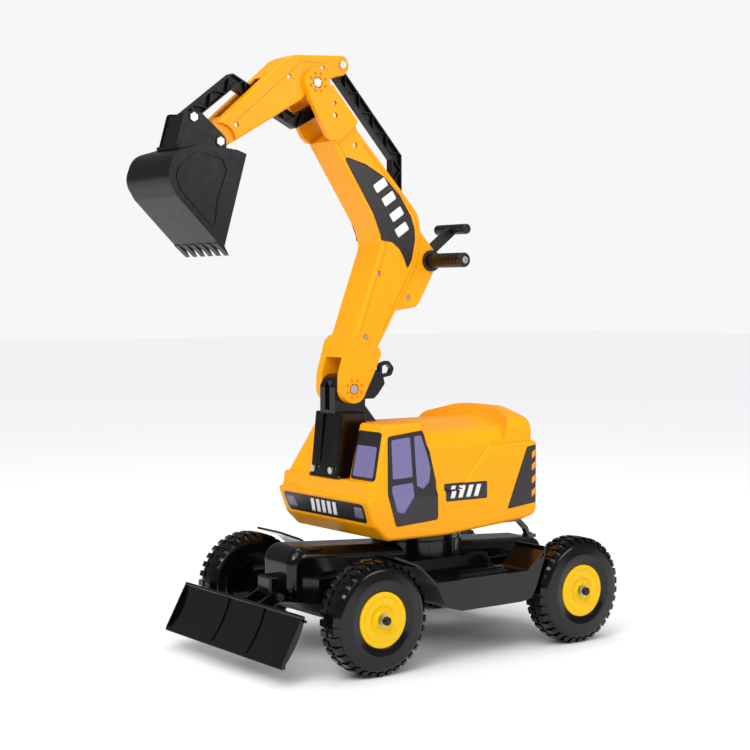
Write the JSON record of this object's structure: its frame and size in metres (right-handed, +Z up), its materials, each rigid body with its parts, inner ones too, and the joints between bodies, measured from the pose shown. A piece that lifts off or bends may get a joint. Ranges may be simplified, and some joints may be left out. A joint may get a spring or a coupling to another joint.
{
  "type": "ride-on toy digger",
  "caption": "Child's ride-on toy wheeled excavator in yellow and black plastic, with a swivelling seat body, hand-worked boom and bucket, front blade and side steps",
  "frame": {"origin": "point on the ground under the middle of the wheelbase", "axes": "+Z up, digger faces -Y, its left (cab) side is +X"},
  "size_m": [0.497, 0.8896, 1.0885],
  "materials": {
    "body_yellow": "smooth blow-moulded yellow, soft gloss",
    "boom_yellow": "injection-moulded yellow, satin gloss",
    "hub_yellow": "moulded yellow wheel disc",
    "chassis_black": "blow-moulded gloss black",
    "tyre_black": "blow-moulded gloss black wheel with tread lugs",
    "bucket_black": "moulded black, satin gloss",
    "link_black": "ribbed moulded black",
    "grip_black": "soft moulded black grip",
    "zinc_steel": "zinc-plated steel",
    "bar_steel": "black-painted steel strip"
  },
  "bodies": {
    "chassis": {"chassis_frame": "chassis_black", "front_axle_beam": "chassis_black", "rear_axle_beam": "chassis_black", "turntable_base": "chassis_black", "step_left": "chassis_black", "step_right": "chassis_black", "axle_spacers": "chassis_black", "front_axle": "zinc_steel", "rear_axle": "zinc_steel", "axle_push_nuts": "zinc_steel", "step_screws": "zinc_steel", "swivel_bolt": "zinc_steel", "rear_stop_screw": "zinc_steel", "blade_pivot_bolt": "zinc_steel", "axle_caps": "chassis_black", "rear_stop_bar": "bar_steel"},
    "blade_set": {"blade": "chassis_black", "blade_arms": "chassis_black"},
    "wheel_front_left": {"tyre_front_left": "tyre_black", "hub_front_left": "hub_yellow", "bush_front_left": "chassis_black"},
    "wheel_front_right": {"tyre_front_right": "tyre_black", "hub_front_right": "hub_yellow", "bush_front_right": "chassis_black"},
    "wheel_rear_left": {"tyre_rear_left": "tyre_black", "hub_rear_left": "hub_yellow", "bush_rear_left": "chassis_black"},
    "wheel_rear_right": {"tyre_rear_right": "tyre_black", "hub_rear_right": "hub_yellow", "bush_rear_right": "chassis_black"},
    "house": {"body_shell": "body_yellow", "turntable_top": "chassis_black", "boom_post": "chassis_black", "swivel_washer": "zinc_steel", "swivel_nut": "zinc_steel", "post_bolts": "zinc_steel", "boom_pivot_bolt": "zinc_steel"},
    "lock": {"boom_lock": "chassis_black"},
    "boom": {"boom_shell_left": "boom_yellow", "boom_shell_right": "boom_yellow", "boom_screws": "zinc_steel", "dipper_pivot_bolt": "zinc_steel", "bucket_link_pin": "zinc_steel", "grip_shaft": "zinc_steel", "grip_screws": "zinc_steel", "grip_left": "grip_black", "grip_right": "grip_black"},
    "lever": {"control_lever": "grip_black", "lever_pin": "zinc_steel"},
    "dipper": {"dipper_shell_left": "boom_yellow", "dipper_shell_right": "boom_yellow", "dipper_screws": "zinc_steel", "tail_bolt": "zinc_steel"},
    "dipper_link_set": {"dipper_link": "link_black"},
    "bucket_set": {"bucket_shell": "bucket_black", "bucket_bracket": "bucket_black", "bucket_bolts": "zinc_steel"},
    "bucket_link_set": {"bucket_link": "link_black"}
  },
  "joints": [
    {"name": "wheel_spin_front_left", "type": "hinge", "parent": "chassis", "child": "wheel_front_left", "pos_m": [0.206, -0.233, 0.1], "axis": [1, 0, 0], "continuous": true},
    {"name": "wheel_spin_front_right", "type": "hinge", "parent": "chassis", "child": "wheel_front_right", "pos_m": [-0.206, -0.233, 0.1], "axis": [1, 0, 0], "continuous": true},
    {"name": "wheel_spin_rear_left", "type": "hinge", "parent": "chassis", "child": "wheel_rear_left", "pos_m": [0.206, 0.233, 0.1], "axis": [1, 0, 0], "continuous": true},
    {"name": "wheel_spin_rear_right", "type": "hinge", "parent": "chassis", "child": "wheel_rear_right", "pos_m": [-0.206, 0.233, 0.1], "axis": [1, 0, 0], "continuous": true},
    {"name": "body_swivel", "type": "hinge", "parent": "chassis", "child": "house", "pos_m": [0, 0.018, 0.2], "axis": [0, 0, 1], "continuous": true},
    {"name": "boom_lift", "type": "hinge", "parent": "house", "child": "boom", "pos_m": [0, -0.158, 0.4845], "axis": [1, 0, 0], "range_deg": [-5, 55]},
    {"name": "dipper_swing", "type": "hinge", "parent": "boom", "child": "dipper", "pos_m": [0, -0.237, 1.034], "axis": [1, 0, 0], "range_deg": [-12, 24]},
    {"name": "bucket_curl", "type": "hinge", "parent": "dipper", "child": "bucket_set", "pos_m": [0, -0.432, 0.9195], "axis": [1, 0, 0], "range_deg": [-12.5, 24.5]},
    {"name": "bucket_link_turn", "type": "hinge", "parent": "bucket_set", "child": "bucket_link_set", "pos_m": [0, -0.484, 0.9578], "axis": [1, 0, 0], "range_deg": [-22.5, 11.5]},
    {"name": "dipper_link_turn", "type": "hinge", "parent": "dipper", "child": "dipper_link_set", "pos_m": [0, -0.177, 1.071], "axis": [1, 0, 0], "range_deg": [-23.5, 12]},
    {"name": "lever_swing", "type": "hinge", "parent": "boom", "child": "lever", "pos_m": [0, 0.024, 0.721], "axis": [1, 0, 0], "range_deg": [-22.5, 11.5]},
    {"name": "blade_lift", "type": "hinge", "parent": "chassis", "child": "blade_set", "pos_m": [0, -0.312, 0.117], "axis": [1, 0, 0], "range_deg": [-12, 4]},
    {"name": "boom_lock_pull", "type": "slide", "parent": "house", "child": "lock", "axis": [0, 0.9507, 0.3102], "range_m": [0, 0.006], "stiffness_N_per_m": 400}
  ],
  "couplings": [
    {"joint": "bucket_curl", "follows": "dipper_swing", "ratio": 1.009},
    {"joint": "bucket_link_turn", "follows": "dipper_swing", "ratio": -0.924},
    {"joint": "dipper_link_turn", "follows": "dipper_swing", "ratio": -0.958},
    {"joint": "lever_swing", "follows": "dipper_swing", "ratio": -0.916}
  ]
}
